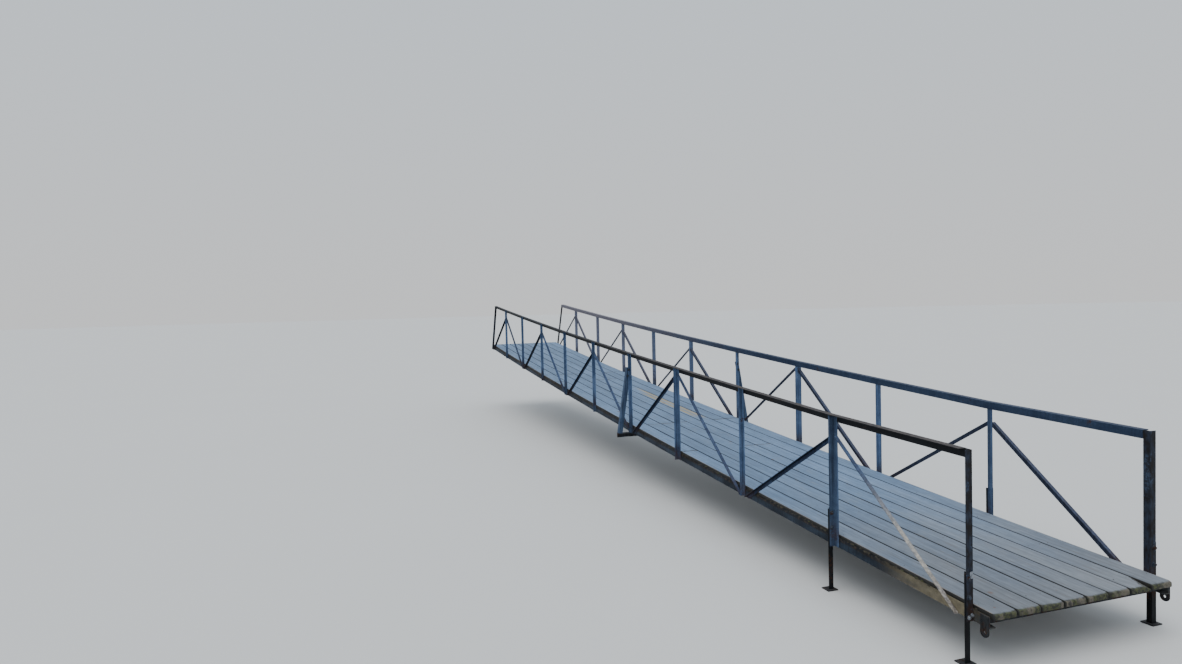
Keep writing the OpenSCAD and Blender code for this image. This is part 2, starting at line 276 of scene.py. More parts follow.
class Nodes:
    """Node tree, built node by node. An input is a socket, a number or a colour."""

    def __init__(self, tree):
        self.tree = tree

    def put(self, socket, value):
        if isinstance(value, bpy.types.NodeSocket):
            self.tree.links.new(value, socket)
        elif hasattr(value, "__len__") and len(value) == 3 and socket.type == "RGBA":
            socket.default_value = (*value, 1.0)
        else:
            socket.default_value = value

    def new(self, kind, given=(), **settings):
        """New node with its settings, and the inputs given by their number or name"""
        node = self.tree.nodes.new(f"ShaderNode{kind}")
        for name, value in settings.items():
            setattr(node, name, value)
        for key, value in dict(given).items():
            self.put(node.inputs[key], value)
        return node

    def part(self, vector, axis):
        return self.new("SeparateXYZ", {0: vector}).outputs[axis]

    def stretch(self, at, scale, shift=(0, 0, 0)):
        return self.new("Mapping", {"Vector": at, "Scale": scale, "Location": shift}).outputs[0]

    def noise(self, at, scale, detail=4.0, rough=0.55, twist=0.0):
        given = {"Vector": at, "Scale": scale, "Detail": detail, "Roughness": rough, "Distortion": twist}
        return self.new("TexNoise", given).outputs["Fac"]

    def cells(self, at, scale):
        return self.new("TexVoronoi", {"Vector": at, "Scale": scale}).outputs["Distance"]

    def math(self, kind, a, b=0.0):
        return self.new("Math", {0: a, 1: b}, operation=kind).outputs[0]

    def plus(self, a, b):
        return self.math("ADD", a, b)

    def minus(self, a, b):
        return self.math("SUBTRACT", a, b)

    def larger(self, a, b):
        return self.math("MAXIMUM", a, b)

    def size(self, a):
        return self.math("ABSOLUTE", a)

    def times(self, *values):
        result = values[0]
        for value in values[1:]:
            result = self.math("MULTIPLY", result, value)
        return result

    def distance(self, at, place):
        return self.new("VectorMath", {0: at, 1: place}, operation="DISTANCE").outputs["Value"]

    def ramp(self, value, low, high, first=0.0, second=1.0, kind="SMOOTHSTEP"):
        """Step of a value between two levels, smooth unless another kind is given"""
        given = enumerate((value, low, high, first, second))
        return self.new("MapRange", given, interpolation_type=kind).outputs["Result"]

    def mix(self, share, a, b, kind="MIX"):
        settings = {"data_type": "RGBA", "blend_type": kind, "clamp_factor": True}
        return self.new("Mix", {0: share, 6: a, 7: b}, **settings).outputs[2]


class Finish(Nodes):
    """One material, whose coats are laid one over the other"""

    def __init__(self, name, metallic=0.0):
        self.material = bpy.data.materials.new(name)
        self.material.use_nodes = True
        super().__init__(self.material.node_tree)
        self.tree.nodes.clear()
        self.shader = self.new("BsdfPrincipled", {"Metallic": metallic})
        self.new("OutputMaterial", {"Surface": self.shader.outputs["BSDF"]})
        self.body = None

    def place(self):
        return self.new("TexCoord").outputs["Object"]

    def along_plank(self):
        return self.new("UVMap").outputs["UV"]

    def attribute(self, name):
        return self.new("Attribute", attribute_name=name).outputs["Fac"]

    def normal(self):
        return self.new("NewGeometry").outputs["Normal"]

    def over_deck(self, at):
        """Height over the line of the deck, with its sag taken as one even curve"""
        share = self.math("DIVIDE", self.minus(self.part(at, 0), UPPER_X), LOWER_X - UPPER_X)
        fall = self.math("MULTIPLY", share, DECK(LOWER_X) - DECK(UPPER_X))
        curve = self.times(share, self.minus(1.0, share), 4 * SAG)
        return self.minus(self.part(at, 2), self.minus(self.plus(fall, DECK(UPPER_X)), curve))

    def coat(self, share, colour):
        """Lay a colour over the coats so far, as far as the share says"""
        self.body = self.mix(share, self.body, colour)

    def tone(self, factor):
        """Darken or lighten the coats so far"""
        self.body = self.mix(1.0, self.body, factor, "MULTIPLY")

    def done(self, roughness, *relief):
        """Material with its coats, roughness and relief, from pairs of a height and its depth in metres"""
        self.put(self.shader.inputs["Base Color"], self.body)
        self.put(self.shader.inputs["Roughness"], roughness)
        over = self.shader.inputs["Normal"]
        for height, depth in reversed(relief):
            bump = self.new("Bump", {"Height": height, "Distance": depth})
            self.put(over, bump.outputs["Normal"])
            over = bump.inputs["Normal"]
        return self.material


def shade(colour, factor):
    """Colour made darker or lighter"""
    return tuple(min(1.0, c * factor) for c in colour)


def painted_wood(name, deck, shift):
    """Old paint on sawn planks: mottled, worn along the grain, flaked at the ends, mossy where wet"""
    f = Finish(name)
    at, lengthwise = f.place(), f.along_plank()
    x, y, up = f.part(at, 0), f.part(at, 1), f.part(f.normal(), 2)
    rim, end = f.attribute("rim"), f.attribute("end")
    grain = f.noise(f.stretch(lengthwise, (1.3, 34, 1), (shift, shift, 0)), 1.0, 7.0, 0.6, 0.3)
    fine = f.noise(f.stretch(lengthwise, (9, 260, 1), (shift, 0, 0)), 1.0, 4.0, 0.6)
    clouds = f.noise(f.stretch(at, (0.8, 1.6, 1), (shift, 0, 0)), 1.4, 5.0)
    mottle = f.noise(f.stretch(at, (1, 1.6, 1), (0, shift, 0)), 14.0, 6.0, 0.62)
    # Paler, warmer paint towards the lower end: faded paint and painted sunlight together
    sunlit_and_faded = f.ramp(f.plus(x, f.times(clouds, 3.0)), LOWER_X - 1.6, LOWER_X + 1.6)
    f.body = f.mix(sunlit_and_faded, tuple(deck.paint), tuple(deck.faded_sunlit_paint))
    for value, low, high, dark, light in (
        (f.attribute("tone"), 0.0, 1.0, 0.92, 1.08),
        (clouds, 0.35, 0.65, 0.9, 1.1),
        (mottle, 0.35, 0.65, 0.92, 1.07),
        (grain, 0.3, 0.62, 1.05, 0.88),
        (fine, 0.45, 0.75, 1.02, 0.84),
    ):
        f.tone(f.ramp(value, low, high, dark, light))
    # Paint worn thin along the grain and flaked off near the plank ends
    thin = f.times(f.ramp(grain, 0.54, 0.68), f.ramp(mottle, 0.45, 0.62), 0.5)
    flakes = f.noise(f.stretch(lengthwise, (22, 60, 1), (0, shift, 0)), 1.0, 6.0, 0.65)
    bared = f.ramp(f.plus(end, flakes), 0.98, 1.12, 0.0, 0.75)
    wood = f.mix(f.ramp(fine, 0.4, 0.6), linear(112, 104, 94), linear(76, 70, 62))
    f.coat(f.larger(thin, bared), wood)
    # Pale scuffs down the middle, where people walk
    track = f.ramp(f.size(y), 0.1, 0.6, 1.0, 0.25)
    scuffs = f.noise(f.stretch(at, (3, 11, 1)), 2.2, 6.0, 0.7)
    f.coat(f.times(track, f.ramp(scuffs, 0.52, 0.7), 0.4), shade(tuple(deck.faded_sunlit_paint), 1.25))
    # Two faint ochre strips along one plank
    strand = f.noise(f.stretch(at, (0.9, 60, 1)), 1.0, 4.0, 0.6)
    for start, stop, middle in ((5.9, 8.6, 0.335), (6.3, 8.5, 0.256)):
        across = f.ramp(f.size(f.minus(y, middle)), 0.018, 0.036, 1.0, 0.0)
        along = f.times(f.ramp(x, start, start + 0.6), f.ramp(x, stop - 0.35, stop, 1.0, 0.0))
        f.coat(f.times(across, along, f.ramp(strand, 0.34, 0.54, 0.45, 0.9)), linear(158, 142, 102))
    # Brown stains, and small dark specks and knots
    stains = f.noise(f.stretch(at, (1, 1.5, 1), (shift, shift, 0)), 7.0, 6.0, 0.65)
    f.coat(f.ramp(stains, 0.65, 0.74, 0.0, 0.5), linear(84, 76, 64))
    specks = f.cells(f.stretch(at, (1, 1.7, 1), (0, shift, 0)), 5.5)
    f.coat(f.ramp(specks, 0.03, 0.055, 0.75, 0.0), linear(56, 48, 40))
    for place_x, place_y, size in SPOTS:
        spot = f.distance(at, (place_x, place_y, DECK(place_x)))
        edge = f.plus(spot, f.times(mottle, size))
        f.coat(f.ramp(edge, size * 0.7, size * 1.1, 0.7, 0.0), linear(104, 78, 62))
    # Dry checks along the grain, and dark bands along the long edges and near the plank ends: grime with
    # painted shade of the gaps between planks
    checks = f.noise(f.stretch(lengthwise, (2.4, 240, 1), (0, -shift, 0)), 1.0, 2.0, 0.5)
    check = f.times(f.ramp(checks, 0.70, 0.74), f.ramp(clouds, 0.45, 0.6))
    f.coat(f.times(check, 0.8), linear(34, 34, 36))
    grime_and_gap_shade = f.larger(f.ramp(rim, 0.5, 0.95), f.ramp(end, 0.51, 0.6))
    patchy = f.ramp(f.noise(f.stretch(at, (1, 3, 1)), 9.0, 5.0), 0.32, 0.6, 0.55, 1.0)
    f.coat(f.times(grime_and_gap_shade, patchy, 0.85), linear(44, 46, 48))
    # Sides and ends are bare, weathered wood; the long sides are darkened further as painted shade
    raw = f.mix(f.ramp(grain, 0.4, 0.65), linear(70, 68, 62), linear(38, 36, 33))
    f.coat(f.times(f.ramp(up, 0.35, 0.8, 1.0, 0.0), 0.95), raw)
    f.tone(f.ramp(f.size(f.part(f.normal(), 1)), 0.55, 0.9, 1.0, 0.3))
    # The outermost arrises are worn down to pale wood
    outermost = f.ramp(f.size(y), DECK_HALF - 0.008, DECK_HALF - 0.003)
    worn = f.times(outermost, f.ramp(up, 0.3, 0.6), f.ramp(mottle, 0.35, 0.55, 0.3, 0.8))
    f.coat(worn, linear(140, 128, 118))
    # Splintered wood along the break, greyed by weather, with dirt in the crack
    fibres = f.mix(f.ramp(fine, 0.35, 0.65), linear(108, 110, 110), linear(58, 55, 52))
    broken = f.attribute("broken")
    f.coat(f.ramp(broken, 0.3, 0.9), fibres)
    crack = f.times(f.ramp(broken, 0.02, 0.3), f.ramp(broken, 0.6, 0.98, 1.0, 0.0))
    f.coat(f.times(crack, 0.9), linear(26, 24, 22))
    # Moss and algae in clumps on the end grain, with a few spots on the last centimetres of the top
    damp = f.noise(at, 23.0, 6.0, 0.65)
    clumps = f.ramp(f.noise(f.stretch(at, (1, 1, 0.3)), 7.0, 3.0, 0.5), 0.46, 0.54)
    on_end = f.times(f.ramp(up, 0.9, 0.98, 1.0, 0.0), f.ramp(x, LOWER_X - 0.04, LOWER_X - 0.025))
    soil = f.mix(f.ramp(damp, 0.4, 0.56), linear(38, 35, 31), linear(98, 91, 80))
    green = tuple(deck.moss)
    moss = f.mix(f.ramp(f.noise(at, 55.0, 4.0), 0.42, 0.6), shade(green, 0.15), green)
    f.coat(f.times(on_end, 0.92), f.mix(clumps, soil, moss))
    # Near-black along the edges of each end face: painted shade in the gaps between the plank ends
    f.coat(f.times(on_end, f.ramp(rim, 0.35, 0.75)), linear(18, 18, 16))
    on_top = f.times(f.ramp(x, LOWER_X - 0.05, LOWER_X - 0.004), f.ramp(damp, 0.5, 0.62), 0.5)
    f.coat(f.times(on_top, 0.92), moss)
    growth = f.larger(f.times(on_end, clumps), on_top)
    relief = f.minus(f.plus(grain, f.times(growth, damp)), f.times(check, 0.8))
    return f.done(f.ramp(grain, 0.3, 0.7, 0.6, 0.82), (fine, 0.0006), (relief, 0.0018))


def weathered_steel(
    name,
    paint,
    chalk,
    rust,
    scabs=0.5,
    streaks=1.0,
    dusty=0.2,
    under=0.45,
    side_shade=1.0,
    low_rust=0.0,
    greyed_and_lit=0.0,
    silt_and_shadow=0.0,
    soot=(),
    sunlit_cream_from=None,
):
    """Old paint on rolled steel: chalky in patches, with painted shade below and on upright faces, with rust
    scabs and drips
    """
    f = Finish(name)
    at = f.place()
    x, up = f.part(at, 0), f.part(f.normal(), 2)
    clouds = f.noise(f.stretch(at, (1, 1, 2.5)), 2.6, 5.0)
    f.body = f.mix(f.ramp(clouds, 0.38, 0.64), paint, chalk)
    drips = f.noise(f.stretch(at, (55, 55, 2.2)), 1.0, 5.0, 0.6)
    f.tone(f.ramp(drips, 0.3, 0.72, 1 + 0.2 * streaks, 1 - 0.5 * streaks))
    pits = f.noise(at, 90.0, 5.0, 0.7)
    f.tone(f.ramp(pits, 0.35, 0.65, 1.1, 0.82))
    if greyed_and_lit:
        # Chalked and greyed towards the upper end, with painted light reflected onto it
        f.coat(f.ramp(f.plus(x, f.times(clouds, 2.0)), 3.5, 10.5, greyed_and_lit, 0.0), linear(128, 122, 130))
    # Painted shade: faces that turn down are darkened, and upright faces too where asked for
    f.tone(f.ramp(up, -0.75, 0.6, under, 1.0))
    f.tone(f.ramp(up, 0.1, 0.5, side_shade, 1.0))
    # Blackened stretches, each from its place, reach and strength, still blotched with the old paint
    blots = f.ramp(f.noise(f.stretch(at, (1, 1, 0.5)), 24.0, 6.0, 0.7), 0.42, 0.62, 1.0, 0.8)
    for place, reach, share in soot:
        black = f.ramp(f.size(f.minus(x, place)), reach, reach + 0.1, share, 0.0)
        f.coat(f.times(black, blots), linear(30, 28, 29))
    # Dust on what faces up
    grit = f.noise(at, 30.0, 6.0, 0.7)
    settled = f.times(f.ramp(grit, 0.3, 0.7, 0.3, 1.0), f.ramp(x, 4.0, 12.0, 0.25, 1.0), dusty)
    dust = f.times(f.ramp(up, 0.4, 0.92), settled)
    f.coat(dust, linear(108, 101, 98))
    if sunlit_cream_from is not None:
        # Cream colour on the last stretch: painted sunlight with a dried-dirt look
        sunlit_cream = f.times(f.ramp(x, sunlit_cream_from, sunlit_cream_from + 0.6), f.ramp(drips, 0.3, 0.6, 0.9, 0.6))
        f.coat(sunlit_cream, f.mix(f.ramp(grit, 0.35, 0.65), linear(196, 188, 174), linear(150, 146, 138)))
    # Rust scabs, thicker low down where that is asked for
    patches = f.noise(f.stretch(at, (1, 1, 0.7)), 7.0, 4.0)
    scab = f.noise(at, 60.0, 8.0, 0.68)
    both = f.plus(f.times(patches, 0.55), f.times(scab, 0.45))
    level = 0.70 - 0.22 * scabs
    rusty = f.ramp(both, level - 0.03, level + 0.03)
    if low_rust:
        height = f.plus(f.part(at, 2), f.times(x, math.tan(MEAN_FALL)))
        low = f.ramp(height, 0.02, 0.26, low_rust, 0.0)
        foot = f.times(f.ramp(height, 0.05, 0.2, 0.6, 0.0), f.ramp(x, 9.5, 11.0, 1.0, 0.0), blots)
        f.coat(foot, linear(26, 31, 42))
        rusty = f.larger(rusty, f.times(low, f.ramp(both, 0.42, 0.56)))
    f.coat(f.times(rusty, 0.85), f.mix(f.ramp(pits, 0.35, 0.65), shade(rust, 0.35), rust))
    # A paler bloom round each scab
    halo = f.times(f.ramp(both, level - 0.07, level - 0.03), f.ramp(both, level - 0.03, level, 1.0, 0.0))
    f.coat(f.times(halo, 0.2), shade(chalk, 1.3))
    if silt_and_shadow:
        # Dark band along the upper edge: painted shadow under the planks, with rotten dirt in it
        shadow_and_rot = f.times(f.ramp(f.over_deck(at), -0.054, -0.040), f.ramp(clouds, 0.3, 0.6, 0.95, 0.7))
        f.coat(shadow_and_rot, f.mix(f.ramp(grit, 0.46, 0.64), linear(18, 17, 17), linear(66, 55, 44)))
        # Dried silt over the last stretch before the last posts, in patches, with a little algae
        fading = f.ramp(x, LAST_POST, LAST_POST + 0.08, 1.0, 0.25)
        near = f.times(f.ramp(x, LAST_POST - 0.9, LAST_POST - 0.4), fading)
        thick = f.ramp(f.noise(f.stretch(at, (0.6, 1, 2)), 3.0, 3.0, 0.45), 0.3, 0.5, 0.45, 0.95)
        mud = f.mix(f.ramp(grit, 0.25, 0.75), linear(124, 115, 94), linear(92, 86, 72))
        f.coat(f.times(near, thick, silt_and_shadow), mud)
        wet = f.noise(f.stretch(at, (1.2, 1, 3)), 9.0, 5.0, 0.6)
        f.coat(f.times(near, f.ramp(wet, 0.56, 0.68), silt_and_shadow * 0.5), linear(66, 64, 42))
    f.shader.inputs["Specular IOR Level"].default_value = 0.12
    roughness = f.larger(f.ramp(rusty, 0.0, 1.0, 0.62, 0.92), f.ramp(dust, 0.0, 0.4, 0.6, 0.85))
    relief = f.plus(f.times(rusty, scab), f.times(pits, 0.2))
    return f.done(roughness, (relief, 0.0011), (drips, 0.0003))


def zinc(name):
    """Galvanised fasteners, still fairly bright"""
    f = Finish(name, metallic=0.8)
    at = f.place()
    spangle = f.cells(at, 240.0)
    f.body = f.mix(f.ramp(spangle, 0.1, 0.6), linear(176, 182, 190), linear(138, 144, 152))
    f.coat(f.ramp(f.noise(at, 90.0, 5.0), 0.55, 0.7, 0.0, 0.6), linear(112, 84, 60))
    return f.done(f.ramp(f.noise(at, 60.0, 4.0), 0.3, 0.7, 0.35, 0.6), (spangle, 0.0002))


def wet_dirt(name, moss):
    """Rotten dirt with moss on it"""
    f = Finish(name)
    at = f.place()
    lumps = f.noise(at, 60.0, 6.0, 0.7)
    f.body = f.mix(f.ramp(lumps, 0.35, 0.6), linear(30, 27, 22), linear(62, 57, 44))
    f.coat(f.ramp(f.noise(at, 9.0, 4.0), 0.55, 0.66), moss)
    return f.done(0.95, (lumps, 0.002))


def studio_floor(name, tone):
    f = Finish(name)
    f.body = f.mix(f.noise(f.place(), 0.35, 3.0), tone, shade(tone, 0.97))
    return f.done(0.9)


# Mesh work


def new_object(bm, name, material):
    """Object at the origin, made from a bmesh"""
    mesh = bpy.data.meshes.new(name)
    bm.to_mesh(mesh)
    bm.free()
    mesh.materials.append(material)
    thing = bpy.data.objects.new(name, mesh)
    bpy.context.scene.collection.objects.link(thing)
    return thing


def finished(bm, name, material):
    """Piece made from a bmesh, shaded smooth except at its sharp edges, riding on the walkway"""
    smooth = math.radians(38)
    for face in bm.faces:
        face.smooth = True
    for edge in bm.edges:
        edge.smooth = len(edge.link_faces) == 2 and edge.calc_face_angle(0.0) < smooth
    piece = new_object(bm, name, material)
    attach(piece, BODY)
    return piece


def turned_to(direction):
    """Turn that takes the Z axis to a direction"""
    return Vector(direction).to_track_quat("Z", "Y").to_matrix().to_4x4()


def placed(at, size, turn=Matrix.Identity(4)):
    """Matrix that gives a unit shape its size, turns it and moves it"""
    return Matrix.Translation(at) @ turn @ Matrix.Diagonal((*size, 1))


def round_off(bm, edges, radius, segments):
    """Bevel some edges of a mesh"""
    bmesh.ops.bevel(
        bm, geom=edges, offset=radius, affect="EDGES", segments=segments, profile=0.5, material=-1
    )


def add_cone(bm, segments, base, tip, depth, matrix):
    """Closed cone with two radii"""
    return bmesh.ops.create_cone(
        bm, cap_ends=True, segments=segments, radius1=base, radius2=tip, depth=depth, matrix=matrix
    )


# What a plank's points carry for its finish: its own tone, and how near they are to edge, end and break
MARKS = ("tone", "rim", "end", "broken")
# Step between the cuts along a plank
CUT_STEP = 0.085
# Reach of the marks from a long edge and from an end, and of the wear from the lower end and its corners
RIM_REACH = 0.018
END_REACH = 0.07
WEAR_REACH = 0.036
CORNER_REACH = 0.02


def with_marks():
    """Bmesh for planks, with a layer for each mark and one for the grain"""
    bm = bmesh.new()
    layers = {name: bm.verts.layers.float.new(name) for name in MARKS}
    return bm, layers, bm.loops.layers.uv.new("plank")


def lay_grain(bm, uv, seed):
    """Lay the grain along a plank, at a place in the wood that its seed gives"""
    for face in bm.faces:
        for loop in face.loops:
            p = loop.vert.co
            loop[uv].uv = (p.x + seed * 3.7, p.y + p.z + seed * 1.3)


def edges_along(bm, axis, longer_than):
    """Edges that run along an axis"""
    return [e for e in bm.edges if abs((e.verts[0].co - e.verts[1].co)[axis]) > longer_than]


def plank_bar(part, size, radius, at_end, chip):
    """Bar with rounded edges about the origin, cut finely enough to be worn, most finely at the lower end"""

    def cut(edges, cuts):
        bmesh.ops.subdivide_edges(part, edges=edges, cuts=cuts, use_grid_fill=True)

    bmesh.ops.create_cube(part, size=1, matrix=placed((0, 0, 0), size))
    cut(edges_along(part, 0, size[0] * 0.9), round(size[0] / CUT_STEP))
    cut(edges_along(part, 1, size[1] * 0.9), 23 if chip else 11)
    if at_end:
        fine_from = size[0] / 2 - (0.26 if chip else 0.12)
        cut([e for e in edges_along(part, 0, 0.05) if min(v.co.x for v in e.verts) > fine_from], 7)
    round_off(part, [e for e in part.edges if e.calc_face_angle(0.0) > 1], radius, 2)


def add_plank(bm, points, deck, seed, gaps):
    """One length of plank, shrunk, worn and laid on the line of the deck"""
    low, high = corners(points)
    thickness = DECK(low.x) - min(p.z for p in points if p.x < low.x + NEAR)
    rng = random.Random(seed)
    lift = rng.uniform(-0.0012, 0.0012)
    cup = rng.uniform(0.0004, 0.0016)
    tone = rng.random()
    low.y += (gaps[0] - GAP_IN_FRAME) / 2
    high.y -= (gaps[1] - GAP_IN_FRAME) / 2
    length, width = high.x - low.x, high.y - low.y
    half = width / 2
    at_end = high.x > LOWER_X - 0.3
    chip = chip_in(points) if at_end else None
    part, marks, uv = with_marks()
    plank_bar(part, (length, width, thickness), deck.edge_round, at_end, chip)
    lay_grain(part, uv, seed)
    for vert in part.verts:
        p = vert.co
        y = (low.y + high.y) / 2 + p.y
        x = low.x + p.x + length / 2
        from_rim = half - abs(p.y)
        vert[marks["tone"]] = tone
        vert[marks["rim"]] = min(1.0, max(0.0, 1 - from_rim / RIM_REACH))
        vert[marks["end"]] = 0.62 * max(0.0, 1 - min(x - low.x, high.x - x) / END_REACH)
        if at_end:
            wear = noise.noise(Vector((p.y * 55 + seed, p.z * 60, seed))) * 0.5 + 0.5
            wear += 0.6 * (noise.noise(Vector((p.y * 160, p.z * 90, seed + 9))) * 0.5 + 0.5)
            near = max(0.0, 1 - (high.x - x) / WEAR_REACH)
            x -= deck.end_wear * wear * near
            if p.z > 0:
                p.z -= 1.7 * deck.end_wear * wear * near * near
            corner = max(0.0, 1 - from_rim / CORNER_REACH)
            x -= 0.8 * deck.end_wear * near * corner * corner
        bow = 0.0009 * noise.noise(Vector((x * 0.9, seed * 2.1, 0)))
        dish = cup * (1 - (p.y / half) ** 2)
        p.x = x
        p.y = y + 0.0012 * noise.noise(Vector((x * 0.6, seed * 1.7, 5)))
        p.z += DECK(x) - thickness / 2 - dish + bow + lift
        if chip:
            vert[marks["broken"]] = lower_to_chip(p, chip, thickness)
    mesh = bpy.data.meshes.new("length")
    part.to_mesh(mesh)
    part.free()
    bm.from_mesh(mesh)
    bpy.data.meshes.remove(mesh)


def chip_in(points):
    """Plane left by a missing splinter at the lower end, as a place on it and its normal, if there is one"""
    ends = [p for p in points if p.x > LOWER_X - NEAR]
    far_y = max(p.y for p in ends)
    crack_y = max(p.y for p in ends if p.z > DECK(LOWER_X) - NEAR)
    if far_y - crack_y < 0.01:
        return None
    tip = Vector((LOWER_X, crack_y, DECK(LOWER_X)))
    side = [p for p in points if p.y > far_y - NEAR]
    back_x = max(p.x for p in side if p.z > DECK(p.x) - NEAR)
    back = Vector((back_x, far_y, DECK(back_x)))
    low_corner = Vector((LOWER_X, far_y, max(p.z for p in side if p.x > LOWER_X - NEAR)))
    normal = (back - tip).cross(low_corner - tip).normalized()
    return tip, normal if normal.z > 0 else -normal


def lower_to_chip(p, chip, thickness):
    """Press a point that lies over the chip down to its splintered surface, and say how far it is broken"""
    tip, normal = chip
    drop = tip.z - (normal.x * (p.x - tip.x) + normal.y * (p.y - tip.y)) / normal.z
    fibre = 0.0035 * noise.noise(Vector((p.x * 9, p.y * 260, 3)))
    fibre += 0.002 * noise.noise(Vector((p.x * 30, p.y * 90, 8)))
    surface = max(DECK(p.x) - thickness + 0.003, drop + fibre)
    if p.z <= surface or surface > DECK(p.x) - 0.0012:
        return 0.0
    p.z = surface
    return 1.0


class GANGWAY_OT_planks(bpy.types.Operator):
    """Lay the deck's planks, each in its three lengths, in place of the plain boards"""

    bl_idname = "gangway.planks"
    bl_label = "Planks"

    def execute(self, context):
        deck = context.scene.gangway_deck
        for number in range(1, BOARDS + 1):
            node = f"deck_board_{number}"
            bm = with_marks()[0]
            for k, points in enumerate(solids(node)):
                gaps = (GAP_IN_FRAME, *GAPS[k], GAP_IN_FRAME)[number - 1 : number + 1]
                add_plank(bm, points, deck, number * 10 + k, gaps)
            material = painted_wood(f"painted_plank_{number}", deck, number * 7.3)
            piece = finished(bm, f"plank_{number}", material)
            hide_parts(node)
        return {"FINISHED"}


def add_screw(bm, x, y, radius):
    """Domed screw head, pulled down into the plank"""
    sunk, height = 0.0006, 0.0022
    place = Matrix.Translation((x, y, DECK(x) - sunk)) @ Matrix.Rotation(lie(x), 4, "Y")
    made = add_cone(bm, 8, radius, radius * 0.62, height, place)
    top = max((f for v in made["verts"] for f in v.link_faces), key=lambda f: f.calc_center_median().z)
    bmesh.ops.inset_individual(bm, faces=[top], thickness=radius * 0.3)
    bmesh.ops.translate(bm, verts=top.verts, vec=(0, 0, -0.0007))


class GANGWAY_OT_plank_screws(bpy.types.Operator):
    """Fasten each length of plank to every floor beam with two screws"""

    bl_idname = "gangway.plank_screws"
    bl_label = "Plank screws"

    def execute(self, context):
        radius = context.scene.gangway_deck.screw_size / 2
        rng = random.Random(4)
        bm = bmesh.new()
        from_edge, from_end, past_end = 0.032, 0.014, 0.03
        for number in range(1, BOARDS + 1):
            for low, high in boxes(f"deck_board_{number}"):
                for beam_low, beam_high in BEAMS:
                    x = (beam_low.x + beam_high.x) / 2
                    if not low.x - past_end < x < high.x + past_end:
                        continue
                    x = min(max(x, low.x + from_end), high.x - from_end)
                    for y in (low.y + from_edge, high.y - from_edge):
                        place = (x + rng.uniform(-0.003, 0.003), y + rng.uniform(-0.006, 0.006))
                        add_screw(bm, *place, radius)
        material = steel_finish("screw_steel", context.scene.gangway_steel)
        finished(bm, "plank_screws", material)
        return {"FINISHED"}


# Which steel nodes share a finish
STEEL_NODES = {
    "hidden_steel": ["floor_beams", "dock_end_beam", "shore_bearing", "outrigger_beam"],
    "chord_steel": ["right_bottom_chord", "left_bottom_chord", "right_end_gusset", "left_end_gusset"],
    "shaded_right_rail_steel": ["right_top_rail"],
    "left_rail_steel": ["left_top_rail"],
    "right_post_steel": ["right_posts"],
    "strut_steel": ["right_outrigger_strut", "left_outrigger_strut"],
    "right_brace_steel": ["right_braces"],
    "left_brace_steel": ["left_braces"],
    "rusty_steel": ["right_foot_plates", "left_foot_plates", "right_dock_lug", "left_dock_lug"],
    "leg_steel": ["right_legs", "left_legs"],
}


def steel_finish(group, steel):
    """Finish of one group of steel pieces"""
    first, last = POSTS[0][0].x, LAST_POST
    posts = dict(
        paint=tuple(steel.slate),
        chalk=linear(96, 120, 154),
        scabs=0.3,
        low_rust=0.8,
        soot=((first + 0.22, 0.35, 0.95), (POSTS[-2][0].x - 0.01, 0.0, 0.5), (last, 0.1, 1.0)),
    )
    looks = {
        "hidden_steel": dict(paint=linear(36, 38, 42), chalk=linear(50, 54, 60), scabs=0.75),
        "chord_steel": dict(
            paint=linear(29, 37, 48), chalk=linear(53, 65, 80), scabs=0.4, streaks=0.7, dusty=0.15,
            silt_and_shadow=1.0,
        ),
        # The right rail is painted darker than the left, partly as painted shade
        "shaded_right_rail_steel": dict(
            paint=tuple(steel.dark), chalk=linear(33, 39, 47), scabs=0.35, streaks=0.4, dusty=0.65,
            side_shade=0.6,
        ),
        "left_rail_steel": dict(
            paint=linear(42, 56, 80), chalk=linear(52, 68, 92), scabs=0.35, streaks=0.35, greyed_and_lit=0.7
        ),
        "right_post_steel": posts,
        "left_post_steel": dict(posts, greyed_and_lit=0.5),
        "strut_steel": dict(paint=linear(60, 78, 104), chalk=linear(74, 94, 122), scabs=0.35),
        "right_brace_steel": dict(
            paint=linear(47, 64, 94), chalk=linear(66, 87, 120), scabs=0.3, under=0.15, side_shade=0.8,
            low_rust=0.6, soot=((first + 2.1, 2.3, 0.5),), sunlit_cream_from=last - 1.05,
        ),
        "left_brace_steel": dict(
            paint=linear(54, 62, 84), chalk=linear(66, 76, 100), scabs=0.35, under=0.2, side_shade=0.7,
            low_rust=0.6, greyed_and_lit=0.3,
        ),
        "rusty_steel": dict(paint=linear(34, 38, 44), chalk=linear(50, 52, 54), scabs=0.6),
        "leg_steel": dict(paint=linear(22, 24, 28), chalk=linear(32, 34, 38), scabs=0.6),
        "screw_steel": dict(paint=linear(84, 86, 90), chalk=linear(104, 106, 110), scabs=0.8),
        "weld_steel": dict(paint=linear(40, 42, 48), chalk=linear(58, 64, 74), scabs=0.8),
        "painted_bolts": dict(paint=linear(44, 52, 64), chalk=linear(72, 80, 92), scabs=0.8),
    }
    return weathered_steel(group, rust=tuple(steel.rust), **looks[group])


def round_edges(piece, steel):
    """Small radius on every real edge of a steel piece"""
    weld = piece.modifiers.new("Weld", "WELD")
    weld.merge_threshold = MERGE
    bevel = piece.modifiers.new("Rolled edges", "BEVEL")
    bevel.width = steel.edge_round
    bevel.segments = 2
    bevel.limit_method = "ANGLE"
    bevel.angle_limit = math.radians(40)
    piece.modifiers.new("Weighted normals", "WEIGHTED_NORMAL")


class GANGWAY_OT_steelwork(bpy.types.Operator):
    """Round the edges of the rolled steel and give each group of pieces its weathered finish"""

    bl_idname = "gangway.steelwork"
    bl_label = "Steelwork"

    def execute(self, context):
        steel = context.scene.gangway_steel
        for group, nodes in STEEL_NODES.items():
            material = steel_finish(group, steel)
            for piece in (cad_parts[node] for node in nodes):
                for own in piece.material_slots:
                    own.link = "OBJECT"
                    own.material = material
                round_edges(piece, steel)
        return {"FINISHED"}


